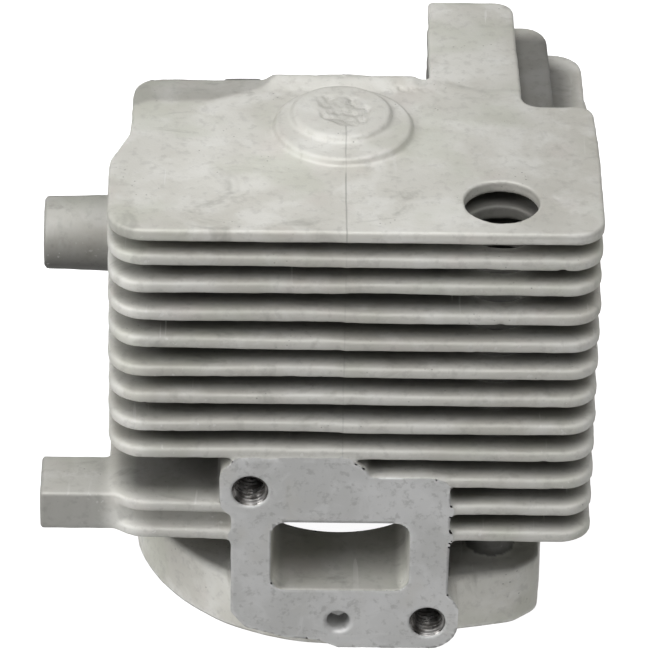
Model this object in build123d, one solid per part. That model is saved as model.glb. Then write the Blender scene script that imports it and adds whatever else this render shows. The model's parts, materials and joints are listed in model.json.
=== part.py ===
from build123d import *
import math
import os

# Air-cooled two-stroke cylinder with its head cast in one piece.
# Frame: millimetres, origin on the bore axis at the base gasket face, +Z towards
# the head, the intake flange faces -Y, +X to the right when looking at the intake.
# One aluminium casting: it is divided at its natural boundaries into named solids
# that meet face to face and never overlap.

# ---------------------------------------------------------------- driving sizes
BORE_R = 20.0            # cylinder bore
PLATING_T = 0.4          # hard bore lining, drawn thicker than the real layer
BARREL_R = 24.6          # outside of the cylinder wall between the fins
BASE_T = 11.0            # base flange thickness
BASE_R = 34.9            # round part of the base flange
DECK_Z = 57.5            # top of the straight bore, start of the chamber
CHAMBER_R = 15.0         # rim of the domed chamber inside the squish band
CHAMBER_H = 9.0          # chamber crown above the deck
FRONT_Y = -36.2          # intake flange face
FIN_Y = -36.0            # front edge of the fins
FIN_XL = -38.7           # left edge of the fins
FIN_XR = 42.4            # right edge of the fins
FIN_YB = 37.4            # back edge of the full fins
FIN_T = 2.2              # mean fin thickness
FIN_LOW_Z = 22.3         # underside of the lowest fin
FIN_PITCH = 5.5          # spacing of the fins
FIN2_Z = 77.1            # underside of the second fin
FIN1_Z = 82.0            # underside of the top plate
ACCESS_X, ACCESS_Y, ACCESS_R = 25.7, -26.2, 6.2     # key access through the fins, radius at the top plate
ACCESS_DRAFT = 0.0354                               # it narrows by this much per mm downwards
BOLT_X, BOLT_Y, BOLT_R = 26.1, -20.4, 2.6           # base screw, and its twin opposite
BOLT_BOSS_R, BOLT_BOSS_Z = 3.6, 14.5                # raised boss around it
PORT_X0, PORT_X1, PORT_Z0, PORT_Z1 = -11.4, 12.0, 12.2, 26.3
STUD_A = (-15.0, 32.4)   # upper intake stud, x and z
STUD_B = (15.3, 5.5)     # lower intake stud
STUD_R, STUD_DEPTH = 2.5, 13.0
PULSE_X, PULSE_Z, PULSE_R = 0.15, 5.45, 1.9
PULSE_END_Y, PULSE_DOWN_Y = -27.0, -29.5             # end of the pulse drilling, and its turn down
DUCT_Y = -26.2           # back of the intake flange plate, start of its duct
EXH_DUCT_Y = 29.0        # front of the exhaust flange plate
BELT_Z0, BELT_Z1 = 26.3, 39.5                        # port belt of the barrel
EXH_Y = 38.0             # exhaust flange face
EXH_W, EXH_Z0, EXH_Z1 = 11.5, 27.5, 39.0
EXH_STUD_X, EXH_STUD_R = 18.5, 2.5
PLUG_TILT = 50.0         # spark plug lean from the bore axis, towards the back
PLUG_SEAT = (0.0, 20.7, 74.5)
PLUG_R, PLUG_BOSS_R, PLUG_TOOL_R = 6.4, 13.5, 14.2
PLUG_BOSS_L = 10.0       # length of the boss along the plug axis
CROWN_X, CROWN_Y, CROWN_R = -0.1, -4.2, 11.8         # lower disc of the crown
CROWN2_X, CROWN2_Y, CROWN2_R = -0.4, -2.0, 8.7      # upper disc of the crown
UP_BOSS_Y, UP_BOSS_Z, UP_BOSS_R, UP_BOSS_END = 8.0, 55.0, 6.2, -50.6
LOW_BOSS_END = -50.2
LOW_BOSS_Y0, LOW_BOSS_Y1 = -33.7, -22.5
LOW_BOSS_Z0, LOW_BOSS_Z1 = 22.6, 29.9
SIDE_HOLE_R = 2.1

os.makedirs("parts", exist_ok=True)


# ---------------------------------------------------------------- helpers
def outline(points):
    """Closed face in XY from (x, y, corner radius) triples, counter-clockwise."""
    n = len(points)
    tangents = []
    for i, (x, y, r) in enumerate(points):
        p = Vector(x, y)
        a = Vector(*points[i - 1][:2]) - p
        b = Vector(*points[(i + 1) % n][:2]) - p
        if r <= 0:
            tangents.append((p, None, p))
            continue
        a, b = a.normalized(), b.normalized()
        half = math.acos(max(-1.0, min(1.0, a.dot(b)))) / 2
        reach = r / math.tan(half)
        centre = p + (a + b).normalized() * (r / math.sin(half))
        mid = centre + (p - centre).normalized() * r
        tangents.append((p + a * reach, mid, p + b * reach))
    edges = []
    for i in range(n):
        start, mid, end = tangents[i]
        if mid is not None:
            edges.append(Edge.make_three_point_arc(start, mid, end))
        nxt = tangents[(i + 1) % n][0]
        if (nxt - end).length > 1e-6:
            edges.append(Edge.make_line(end, nxt))
    return Face(Wire(edges))


def slab(points, z0, z1):
    return Solid.extrude(Pos(0, 0, z0) * outline(points), Vector(0, 0, z1 - z0))


def plate_xz(points, y0, y1):
    """Extrude an (x, z, radius) outline from y0 to y1."""
    face = Rot(90, 0, 0) * outline(points)
    face = Pos(0, y1, 0) * face
    return Solid.extrude(face, Vector(0, y0 - y1, 0))


def box(x0, x1, y0, y1, z0, z1):
    return Pos((x0 + x1) / 2, (y0 + y1) / 2, (z0 + z1) / 2) * Box(x1 - x0, y1 - y0, z1 - z0)


def rod_z(x, y, r, z0, z1):
    return Pos(x, y, (z0 + z1) / 2) * Cylinder(r, z1 - z0)


def rod_y(x, z, r, y0, y1):
    return Pos(x, (y0 + y1) / 2, z) * Rot(90, 0, 0) * Cylinder(r, y1 - y0)


def rod_x(y, z, r, x0, x1):
    return Pos((x0 + x1) / 2, y, z) * Rot(0, 90, 0) * Cylinder(r, x1 - x0)


def one(shape):
    """The largest solid of a boolean result."""
    solids = sorted(shape.solids(), key=lambda s: s.volume, reverse=True)
    if len(solids) > 1 and solids[1].volume > 0.5:
        print("   note: dropped", [round(s.volume, 2) for s in solids[1:]])
    return solids[0]


def soften(shape, radius):
    """Round the upper and lower outline edges of a plate."""
    groups = shape.edges().group_by(Axis.Z)
    edges = list(groups[-1]) + list(groups[0])
    for r in (radius, radius * 0.7, radius * 0.5):
        try:
            return fillet(edges, r)
        except Exception:
            continue
    return shape


made = []


def save(name, shape):
    """Write one node; a list of shapes is written as a group of separate solids."""
    if isinstance(shape, list):
        solid = Compound(label=name, children=[one(part) for part in shape])
    else:
        solid = one(shape)
    solid.label = name
    export_step(solid, "parts/" + name + ".step")
    made.append(name)
    bb = solid.bounding_box()
    print(name, "vol %.0f" % solid.volume, "x %.1f..%.1f y %.1f..%.1f z %.1f..%.1f" % (
        bb.min.X, bb.max.X, bb.min.Y, bb.max.Y, bb.min.Z, bb.max.Z), "valid", solid.is_valid)
    return solid


# ---------------------------------------------------------------- shared cutters
tilt = math.radians(PLUG_TILT)
plug_dir = Vector(0, math.sin(tilt), math.cos(tilt))
seat = Vector(*PLUG_SEAT)


def rod_plug(r, back, front):
    """Cylinder on the spark plug axis from -back (into the head) to +front."""
    base = seat - plug_dir * back
    plane = Plane(origin=tuple(base), z_dir=tuple(plug_dir))
    return plane * Pos(0, 0, (back + front) / 2) * Cylinder(r, back + front)


bore_cut = rod_z(0, 0, BORE_R + PLATING_T, -1, DECK_Z)
intake_port = plate_xz([(PORT_X0, PORT_Z0, 2.6), (PORT_X1, PORT_Z0, 2.6),
                        (PORT_X1, PORT_Z1, 2.6), (PORT_X0, PORT_Z1, 2.6)], FRONT_Y - 1, -12)
exhaust_port = plate_xz([(-EXH_W, EXH_Z0, 3.0), (EXH_W, EXH_Z0, 3.0),
                         (EXH_W, EXH_Z1, 3.0), (-EXH_W, EXH_Z1, 3.0)], 12, EXH_Y + 1)
TR_Y, TR_X0, TR_X1, TR_Z0, TR_Z1 = 8.5, 23.0, 29.5, 28.5, 38.0
transfer_cut = {}
transfer_low = {}
for side, s in (("right", 1), ("left", -1)):
    xs = sorted((s * TR_X0, s * TR_X1))
    # the passage rises outside the wall and turns in through the wall at the top
    transfer_cut[side] = box(*xs, -TR_Y, TR_Y, -1, TR_Z1) + box(
        *sorted((s * 15.0, s * TR_X1)), -TR_Y, TR_Y, TR_Z0, TR_Z1)
    transfer_low[side] = box(*xs, -TR_Y, TR_Y, -1, TR_Z1)
plug_hole = rod_plug(PLUG_R, 26, 3)
plug_tool = rod_plug(PLUG_TOOL_R, 0, 40)
pulse_cut = rod_y(PULSE_X, PULSE_Z, PULSE_R, FRONT_Y - 1, PULSE_END_Y) + rod_z(
    PULSE_X, PULSE_DOWN_Y, PULSE_R, -1, PULSE_Z)
stud_cut = (rod_y(*STUD_A, STUD_R, FRONT_Y - 1, FRONT_Y + STUD_DEPTH)
            + rod_y(*STUD_B, STUD_R, FRONT_Y - 1, FRONT_Y + STUD_DEPTH))
for sx, sz in (STUD_A, STUD_B):
    stud_cut += Pos(sx, FRONT_Y + 0.35, sz) * Rot(-90, 0, 0) * Cone(3.2, 2.5, 0.7)
bolt_cut = rod_z(BOLT_X, BOLT_Y, BOLT_R, -1, BOLT_BOSS_Z + 1) + rod_z(
    -BOLT_X, -BOLT_Y, BOLT_R, -1, BOLT_BOSS_Z + 1)


def shaft(x, y):
    """Drafted key shaft through the fins, widest at the top."""
    z0, z1 = 16.0, 90.0
    top = FIN1_Z + FIN_T
    return Pos(x, y, (z0 + z1) / 2) * Cone(ACCESS_R - (top - z0) * ACCESS_DRAFT,
                                           ACCESS_R + (z1 - top) * ACCESS_DRAFT, z1 - z0)


access_cut = shaft(ACCESS_X, ACCESS_Y) + shaft(-BOLT_X, -BOLT_Y)

# ---------------------------------------------------------------- intake flange and duct
flange_face = [(-18.1, 7.6, 1.5), (-15.6, 4.3, 1.5), (-9.0, 2.3, 2.0), (-3.0, 1.6, 1.0), (0.6, 0.0, 1.0),
               (20.5, 0.0, 5.2), (20.5, 8.8, 3.0), (18.6, 11.6, 2.0), (18.6, 35.5, 4.0), (5.3, 35.5, 0.9),
               (4.1, 37.6, 1.8), (1.2, 39.0, 0.6), (-17.4, 39.0, 2.2), (-20.1, 36.2, 3.0), (-20.1, 30.2, 3.0), (-18.1, 27.8, 1.5)]
core_env = rod_z(0, 0, BARREL_R, 0, DECK_Z)
flange_env = one(plate_xz(flange_face, FRONT_Y, DUCT_Y))
runner = plate_xz([(-15.4, 0.0, 0), (15.9, 0.0, 0), (15.9, 30.5, 3.0), (-15.4, 30.5, 3.0)], DUCT_Y, -8)
stud_boss = rod_y(*STUD_A, 5.2, DUCT_Y, -20.5) + box(-15.4, -9.0, DUCT_Y, -20.5, 24, 36.5)
# below the top of the base flange the duct belongs to the base flange
duct_env = one((runner + stud_boss) - core_env - box(-60, 60, DUCT_Y, 60, -1, BASE_T))
intake_env = flange_env + duct_env
intake_all = flange_env - intake_port - stud_cut - pulse_cut
intake = intake_all & box(-30, 30, -40, 0, PORT_Z0, 60)
intake_foot = intake_all & box(-30, 30, -40, 0, -1, PORT_Z0)
intake_duct = duct_env - intake_port - stud_cut

# ---------------------------------------------------------------- exhaust flange and duct
EZ = (EXH_Z0 + EXH_Z1) / 2
exh_face = [(-15.0, EZ - 10.6, 4.0), (15.0, EZ - 10.6, 4.0), (24.5, EZ - 4.2, 5.0), (24.5, EZ + 4.2, 5.0),
            (15.0, EZ + 10.6, 4.0), (-15.0, EZ + 10.6, 4.0), (-24.5, EZ + 4.2, 5.0), (-24.5, EZ - 4.2, 5.0)]
exh_plate = one(plate_xz(exh_face, EXH_DUCT_Y, EXH_Y))
exh_duct_env = one(plate_xz([(-15, EZ - 9.4, 3), (15, EZ - 9.4, 3), (15, EZ + 9.4, 3), (-15, EZ + 9.4, 3)], 8, EXH_DUCT_Y)
                   - core_env)
exhaust_env = exh_plate + exh_duct_env
exhaust = exh_plate - exhaust_port
exhaust_duct = exh_duct_env - exhaust_port
for s in (-1, 1):
    exhaust -= rod_y(s * EXH_STUD_X, EZ, EXH_STUD_R, EXH_Y - 8.0, EXH_Y + 1)

# ---------------------------------------------------------------- transfer passages
passage_env, passage = {}, {}
for side, s in (("right", 1), ("left", -1)):
    pts = [(s * 18.0, -11.6, 0), (s * 32.6, -11.6, 3.0), (s * 32.6, 11.6, 3.0), (s * 18.0, 11.6, 0)]
    if s < 0:
        pts = pts[::-1]
    block = slab(pts, BASE_T, 42.5)
    slope = Plane(origin=(s * 32.6, 0, 34.5), x_dir=(0, 1, 0), z_dir=(s * 0.75, 0, 0.66)) * Pos(0, 0, 10) * Box(60, 60, 20)
    block = block - slope - core_env
    passage_env[side] = one(block)
    passage[side] = passage_env[side] - transfer_cut[side]

# ---------------------------------------------------------------- barrel and bore lining
barrel = rod_z(0, 0, BARREL_R, PORT_Z0, DECK_Z) - bore_cut - intake_port - exhaust_port
lining = rod_z(0, 0, BORE_R + PLATING_T, 0, DECK_Z) - rod_z(0, 0, BORE_R, -1, DECK_Z + 1) - intake_port - exhaust_port
for side in ("right", "left"):
    barrel -= transfer_cut[side]
    lining -= transfer_cut[side]

# ---------------------------------------------------------------- head dome
arc_r = (CHAMBER_R ** 2 + (CHAMBER_H - 0.8) ** 2) / (2 * (CHAMBER_H - 0.8))
arc_c = DECK_Z + CHAMBER_H - arc_r
mid_a = math.asin(CHAMBER_R / arc_r) / 2
with BuildPart() as dome_b:
    with BuildSketch(Plane.XZ) as sk:
        with BuildLine():
            Line((BARREL_R, DECK_Z), (BORE_R, DECK_Z))
            Line((BORE_R, DECK_Z), (CHAMBER_R, DECK_Z + 0.8))
            ThreePointArc((CHAMBER_R, DECK_Z + 0.8),
                          (arc_r * math.sin(mid_a), arc_c + arc_r * math.cos(mid_a)), (0, DECK_Z + CHAMBER_H))
            Line((0, DECK_Z + CHAMBER_H), (0, FIN1_Z))
            Line((0, FIN1_Z), (17.0, FIN1_Z))
            Line((17.0, FIN1_Z), (BARREL_R, 67.0))
            Line((BARREL_R, 67.0), (BARREL_R, DECK_Z))
        make_face()
    revolve(axis=Axis.Z)
dome = dome_b.part
with BuildPart() as dome_full_b:
    with BuildSketch(Plane.XZ):
        with BuildLine():
            Polyline((0, DECK_Z), (0, FIN1_Z), (17.0, FIN1_Z), (BARREL_R, 67.0), (BARREL_R, DECK_Z), (0, DECK_Z))
        make_face()
    revolve(axis=Axis.Z)
dome_env = dome_full_b.part
plug_env = one(rod_plug(PLUG_BOSS_R, PLUG_BOSS_L, 0) & box(-30, 30, -10, 60, 50, 85.0))
head_dome = dome - plug_hole - plug_tool - plug_env

# ---------------------------------------------------------------- spark plug boss
plug_boss = plug_env - plug_hole

# ---------------------------------------------------------------- side bosses
up_rod = Pos((UP_BOSS_END - 14.0) / 2, UP_BOSS_Y, UP_BOSS_Z) * Rot(0, -90, 0) * Cone(7.2, UP_BOSS_R, -UP_BOSS_END - 14.0)
up_rod = fillet(up_rod.edges().sort_by(Axis.X)[0], 0.8)
up_boss_env = one(up_rod - core_env - dome_env - passage_env["left"])
up_boss = up_boss_env - rod_x(UP_BOSS_Y, UP_BOSS_Z, SIDE_HOLE_R, UP_BOSS_END - 1, UP_BOSS_END + 14)
low_free = fillet(box(LOW_BOSS_END, -34.0, LOW_BOSS_Y0, LOW_BOSS_Y1, LOW_BOSS_Z0, LOW_BOSS_Z1).edges().filter_by(Axis.X), 0.6)
low_free = low_free & box(LOW_BOSS_END, FIN_XL + 0.1, -60, 0, 0, 60)
low_web = box(FIN_XL - 1, -18.2, LOW_BOSS_Y0, LOW_BOSS_Y1, FIN_LOW_Z + FIN_T, FIN_LOW_Z + FIN_PITCH)
low_cy, low_cz = (LOW_BOSS_Y0 + LOW_BOSS_Y1) / 2, (LOW_BOSS_Z0 + LOW_BOSS_Z1) / 2

# ---------------------------------------------------------------- fins
full = [(FIN_XL, FIN_Y, 6.0), (FIN_XR, FIN_Y, 5.0), (FIN_XR, FIN_YB, 8.0), (-35.6, FIN_YB - 1.0, 6.0),
        (-35.6, -6.0, 7.0), (FIN_XL - 0.1, -15.0, 7.0)]
fin_plan = {
    1: [(FIN_XL, FIN_Y, 6.0), (FIN_XR, FIN_Y, 5.0), (FIN_XR, -14.0, 30.0), (41.7, 3.7, 3.0), (30.0, 3.7, 3.0),
        (29.3, FIN_YB + 0.1, 3.2), (14.7, FIN_YB + 0.1, 0.9), (14.5, 12.0, 0.9), (-35.3, 11.9, 5.0),
        (-35.7, -6.0, 7.0), (FIN_XL - 0.1, -15.0, 7.0)],
    2: [(FIN_XL, FIN_Y, 6.0), (FIN_XR, FIN_Y, 5.0), (FIN_XR, 9.5, 3.0), (35.7, 9.5, 3.0), (35.2, FIN_YB, 4.3),
        (14.7, FIN_YB, 0.9), (14.5, 20.0, 0.9), (-35.4, 20.0, 5.0), (-35.6, -6.0, 7.0), (FIN_XL - 0.1, -15.0, 7.0)],
    3: [(FIN_XL, FIN_Y, 6.0), (FIN_XR, FIN_Y, 5.0), (41.3, FIN_YB, 5.0),
        (14.7, FIN_YB, 0.9), (14.5, 28.0, 0.9), (-35.4, 28.0, 5.5), (-35.6, -6.0, 7.0), (FIN_XL - 0.1, -15.0, 7.0)],
    4: [(FIN_XL, FIN_Y, 6.0), (FIN_XR, FIN_Y, 5.0), (FIN_XR, FIN_YB, 8.0), (14.6, FIN_YB, 0.9), (14.4, 34.5, 0.9),
        (-35.5, 34.5, 6.0), (-35.6, -6.0, 7.0), (FIN_XL - 0.1, -15.0, 7.0)],
}
fin_z = {1: FIN1_Z, 2: FIN2_Z, 3: 71.8}
for k in range(4, 13):
    fin_z[k] = FIN_LOW_Z + FIN_PITCH * (12 - k)

envelopes = [core_env, intake_env, exhaust_env, passage_env["left"], passage_env["right"], plug_env, plug_tool]
fin_solid = {}
for k in range(1, 13):
    z0 = fin_z[k]
    plate = soften(slab(fin_plan.get(k, full), z0, z0 + FIN_T), 0.75)
    plate = plate - access_cut
    if k > 1:
        plate = plate - dome_env
    if z0 < DECK_Z:
        plate = plate - core_env
        if z0 < 45:
            plate = plate - intake_env - exhaust_env - passage_env["left"] - passage_env["right"]
        plate = plate - up_boss_env
    else:
        plate = plate - plug_env - plug_tool
        if z0 < 63:
            plate = plate - up_boss_env
    if k == 10:
        # the fin stops short over the lower side boss
        plate = plate - box(-60, -18.0, -60, -14.0, 0, 90)
    fin_solid[k] = [f for f in plate.solids() if f.volume > 25.0]

low_boss = (low_free + low_web) - intake_env
for k in (11, 12):
    for f in fin_solid[k]:
        low_boss = low_boss - f
low_boss = one(low_boss - rod_x(low_cy, low_cz, SIDE_HOLE_R, LOW_BOSS_END - 1, LOW_BOSS_END + 9.5))

# ---------------------------------------------------------------- base flange
corner = [(0, 0, 0), (8.0, -33.97, 0), (20.0, -30.5, 2.0), (30.0, -28.2, 4.0), (34.4, -24.2, 4.5), (35.2, -14.0, 6.0), (35.2, 0, 0)]
far = [(-x, -y, r) for x, y, r in corner]
base = rod_z(0, 0, BASE_R, 0, BASE_T) + slab(corner, 0, BASE_T) + slab(far, 0, BASE_T)
base = one(base)
base = soften(base, 0.5)
base = base - bore_cut - bolt_cut - transfer_low["left"] - transfer_low["right"] - intake_env - pulse_cut - intake_port
# foot of the barrel, up to the floor of the intake port
foot = rod_z(0, 0, BARREL_R, BASE_T, PORT_Z0) - bore_cut - transfer_low["left"] - transfer_low["right"]
# raised bosses around the base screws
screw_bosses = [rod_z(s * BOLT_X, s * BOLT_Y, BOLT_BOSS_R, BASE_T, BOLT_BOSS_Z) - bolt_cut for s in (1, -1)]

# ---------------------------------------------------------------- crown
crown_z = FIN1_Z + FIN_T
gate = [(-5.0, 2.7, 0), (-4.25, -2.3, 0), (-3.2, -5.1, 0), (0.3, -6.8, 0), (4.3, -5.3, 0), (4.25, -1.0, 0), (2.2, 2.3, 0), (-1.2, 3.1, 0)]
crown = (Pos(CROWN_X, CROWN_Y, crown_z + 0.6) * Cone(CROWN_R, CROWN_R - 0.5, 1.2)
         + Pos(CROWN2_X, CROWN2_Y, crown_z + 1.2 + 0.5) * Cone(CROWN2_R, CROWN2_R - 0.7, 1.0))
crown = crown - slab(gate, crown_z + 1.9, crown_z + 5) - plug_env - plug_tool

# ---------------------------------------------------------------- write the nodes
save("barrel_lower", barrel & box(-40, 40, -40, 40, 0, BELT_Z0))
save("barrel_port_belt", barrel & box(-40, 40, -40, 40, BELT_Z0, BELT_Z1))
save("barrel_upper", barrel & box(-40, 40, -40, 40, BELT_Z1, DECK_Z + 1))
save("bore_lining", lining)
save("head_dome", head_dome)
save("crown_boss", crown)
save("spark_plug_boss", plug_boss)
save("base_flange", base)
save("barrel_foot", foot)
save("base_screw_bosses", screw_bosses)
save("intake_flange", intake)
save("intake_flange_foot", intake_foot)
save("intake_duct", intake_duct)
save("exhaust_flange", exhaust)
save("exhaust_duct", exhaust_duct)
save("transfer_passage_left", passage["left"])
save("transfer_passage_right", passage["right"])
save("upper_side_boss", up_boss)
save("lower_side_boss", low_boss)
for k in range(1, 13):
    for f in fin_solid[k]:
        if len(fin_solid[k]) == 1:
            side = "_top_plate" if k == 1 else ""
        else:
            side = "_left" if f.center().X < 0 else "_right"
        save("fin_%02d%s" % (k, side), f)
print(len(made), "nodes")
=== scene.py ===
# One aluminium casting, drawn as a single distance field so that every junction has its cast fillet and every
# machined face its crisp edge, then divided into one piece per CAD node. Lengths below are in mm, Blender's in m.
import bpy
import json
import math
import numpy as np
import openvdb
from mathutils import Matrix

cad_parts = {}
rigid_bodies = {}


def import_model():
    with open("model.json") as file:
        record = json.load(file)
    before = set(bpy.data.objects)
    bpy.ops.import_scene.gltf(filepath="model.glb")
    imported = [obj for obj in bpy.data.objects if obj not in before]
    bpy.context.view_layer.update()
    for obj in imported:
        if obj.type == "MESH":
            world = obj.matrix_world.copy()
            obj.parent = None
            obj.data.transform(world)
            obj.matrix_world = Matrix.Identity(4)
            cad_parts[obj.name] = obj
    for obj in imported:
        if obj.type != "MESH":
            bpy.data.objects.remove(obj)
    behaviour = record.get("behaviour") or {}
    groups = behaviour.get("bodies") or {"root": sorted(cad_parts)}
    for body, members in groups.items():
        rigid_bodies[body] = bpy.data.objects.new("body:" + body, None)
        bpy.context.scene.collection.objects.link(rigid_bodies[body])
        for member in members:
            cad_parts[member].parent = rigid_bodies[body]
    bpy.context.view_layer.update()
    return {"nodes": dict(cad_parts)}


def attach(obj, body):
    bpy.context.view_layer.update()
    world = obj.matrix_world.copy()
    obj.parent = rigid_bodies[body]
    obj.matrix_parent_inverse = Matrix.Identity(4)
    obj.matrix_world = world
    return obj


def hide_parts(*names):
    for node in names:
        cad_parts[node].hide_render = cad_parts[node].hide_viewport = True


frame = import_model()
F32 = np.float32

# ------------------------------------------------------------------ sizes of the casting
H = 0.42
XLO, YLO, ZLO = -52.3, -38.6, -1.9
XHI, YHI, ZHI = 44.4, 40.2, 88.6
BARREL_R, BORE_R, PLATING_T = 24.6, 20.0, 0.4
BASE_T, BASE_R, DECK_Z = 11.0, 34.9, 57.5
FRONT_Y, EXH_Y = -36.2, 38.0
FIN1_Z, FIN2_Z, FIN3_Z, FIN_LOW_Z, FIN_PITCH, FIN_T = 82.0, 77.1, 71.8, 22.3, 5.5, 2.2
STUDS = ((-15.0, 32.4), (15.3, 5.5))
SCREWS = ((26.1, -20.4), (-26.1, 20.4))
EZ = 33.25
TILT = math.radians(50.0)
PD = (math.sin(TILT), math.cos(TILT))          # plug axis in y, z
SEAT = (20.7, 74.5)
CROWN, CROWN2 = (-0.1, -4.2), (-0.4, -2.0)      # lower and upper disc on the crown
fin_z = {1: FIN1_Z, 2: FIN2_Z, 3: FIN3_Z}
for k in range(4, 13):
    fin_z[k] = FIN_LOW_Z + FIN_PITCH * (12 - k)

# ------------------------------------------------------------------ grid
nx, ny, nz = (int((b - a) / H) + 1 for a, b in ((XLO, XHI), (YLO, YHI), (ZLO, ZHI)))
xs = (XLO + H * np.arange(nx)).astype(F32)
ys = (YLO + H * np.arange(ny)).astype(F32)
zs = (ZLO + H * np.arange(nz)).astype(F32)


def sub(x0, x1, y0, y1, z0, z1, pad=2.6):
    """Block of the grid around a feature: its slices and its coordinates, ready to broadcast."""
    out = []
    for lo, hi, start, n in ((x0, x1, XLO, nx), (y0, y1, YLO, ny), (z0, z1, ZLO, nz)):
        out.append(slice(max(0, int((lo - pad - start) / H)), min(n, int((hi + pad - start) / H) + 2)))
    s = tuple(out)
    return s, xs[s[0]][:, None, None], ys[s[1]][None, :, None], zs[s[2]][None, None, :]


def rounded(points, seg=6):
    """Polyline of a closed outline given as (x, y, corner radius)."""
    out = []
    n = len(points)
    for i, (x, y, r) in enumerate(points):
        p = np.array((x, y), float)
        if r <= 0:
            out.append(p)
            continue
        a = np.array(points[i - 1][:2], float) - p
        b = np.array(points[(i + 1) % n][:2], float) - p
        a /= np.linalg.norm(a)
        b /= np.linalg.norm(b)
        half = math.acos(max(-1.0, min(1.0, float(a @ b)))) / 2
        c = p + (a + b) / np.linalg.norm(a + b) * (r / math.sin(half))
        p0, p1 = p + a * (r / math.tan(half)), p + b * (r / math.tan(half))
        a0, a1 = math.atan2(*(p0 - c)[::-1]), math.atan2(*(p1 - c)[::-1])
        d = (a1 - a0 + math.pi) % (2 * math.pi) - math.pi
        for j in range(seg + 1):
            t = a0 + d * j / seg
            out.append(c + r * np.array((math.cos(t), math.sin(t))))
    return np.array(out)


def poly(points, X, Y):
    """Signed distance to a closed polyline, negative inside."""
    d = None
    odd = None
    n = len(points)
    for i in range(n):
        ax, ay = (float(v) for v in points[i - 1])
        bx, by = (float(v) for v in points[i])
        ex, ey = bx - ax, by - ay
        if ex * ex + ey * ey < 1e-12:
            continue
        wx, wy = X - F32(ax), Y - F32(ay)
        t = np.clip((wx * F32(ex) + wy * F32(ey)) / F32(ex * ex + ey * ey), 0, 1)
        q = (wx - t * F32(ex)) ** 2 + (wy - t * F32(ey)) ** 2
        d = q if d is None else np.minimum(d, q)
        if abs(ey) > 1e-9:
            hit = ((Y >= min(ay, by)) & (Y < max(ay, by))) & (X < F32(ax) + wy * F32(ex / ey))
            odd = hit if odd is None else odd ^ hit
    return np.where(odd, -np.sqrt(d), np.sqrt(d)).astype(F32)


def smin(a, b, k):
    h = np.maximum(F32(k) - np.abs(a - b), 0) / F32(k)
    return np.minimum(a, b) - h * h * F32(k * 0.25)


def smax(a, b, k):
    return -smin(-a, -b, k)


def both(a, b, r):
    """Intersection of two slabs or outlines with the outer edge rounded by r."""
    a, b = a + F32(r), b + F32(r)
    return (np.sqrt(np.maximum(a, 0) ** 2 + np.maximum(b, 0) ** 2) + np.minimum(np.maximum(a, b), 0) - F32(r)).astype(F32)


def rbox(X, Y, Z, x0, x1, y0, y1, z0, z1, r):
    a = np.abs(X - F32((x0 + x1) / 2)) - F32((x1 - x0) / 2 - r)
    b = np.abs(Y - F32((y0 + y1) / 2)) - F32((y1 - y0) / 2 - r)
    c = np.abs(Z - F32((z0 + z1) / 2)) - F32((z1 - z0) / 2 - r)
    return (np.sqrt(np.maximum(a, 0) ** 2 + np.maximum(b, 0) ** 2 + np.maximum(c, 0) ** 2)
            + np.minimum(np.maximum(np.maximum(a, b), c), 0) - F32(r)).astype(F32)


def waves(seed, wavelength, X, Y, Z=None, n=6):
    """Smooth deterministic noise, about -1 to 1, as a sum of sines in seeded directions."""
    rng = np.random.RandomState(seed)
    total = 0
    for _ in range(n):
        v = rng.normal(size=3)
        v /= np.linalg.norm(v)
        v *= 2 * math.pi / (wavelength * rng.uniform(0.7, 1.5))
        ph = rng.uniform(0, 2 * math.pi)
        arg = X * F32(v[0]) + Y * F32(v[1]) + F32(ph)
        if Z is not None:
            arg = arg + Z * F32(v[2])
        total = total + np.sin(arg)
    return (total * F32(1.0 / math.sqrt(n))).astype(F32)


C = np.full((nx, ny, nz), 4.0, F32)             # cast skin, negative in the metal


def join(s, d, k):
    C[s] = smin(C[s], d, k)


# ------------------------------------------------------------------ core and head dome
s, X, Y, Z = sub(-25, 25, -25, 25, -1, 83)
R = np.sqrt(X * X + Y * Y)
core = poly(np.array([(-3, -1.5), (BARREL_R, -1.5), (BARREL_R, 67.0), (17.0, 82.2), (-3, 82.2)]), R, Z + 0 * R)
join(s, core, 0.5)

# ------------------------------------------------------------------ fins
FULL = [(-38.7, -36, 6), (42.4, -36, 5), (42.4, 37.4, 8), (-35.6, 36.4, 6), (-35.6, -6, 7), (-38.8, -15, 7)]
TAIL = [(-35.6, -6, 7), (-38.8, -15, 7)]
PLAN = {
    1: [(-38.7, -36, 6), (42.4, -36, 5), (42.4, -14, 30), (41.7, 3.7, 3), (30.0, 3.7, 3), (29.3, 37.5, 3.2),
        (14.7, 37.5, 0.9), (14.5, 12, 0.9), (-35.3, 11.9, 5)] + TAIL,
    2: [(-38.7, -36, 6), (42.4, -36, 5), (42.4, 9.5, 3), (35.7, 9.5, 3), (35.2, 37.4, 4.3), (14.7, 37.4, 0.9),
        (14.5, 20, 0.9), (-35.4, 20, 5)] + TAIL,
    3: [(-38.7, -36, 6), (42.4, -36, 5), (41.3, 37.4, 5), (14.7, 37.4, 0.9), (14.5, 28, 0.9), (-35.4, 28, 5.5)] + TAIL,
    4: [(-38.7, -36, 6), (42.4, -36, 5), (42.4, 37.4, 8), (14.6, 37.4, 0.9), (14.4, 34.5, 0.9), (-35.5, 34.5, 6)] + TAIL,
}
rng = np.random.RandomState(11)
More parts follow.
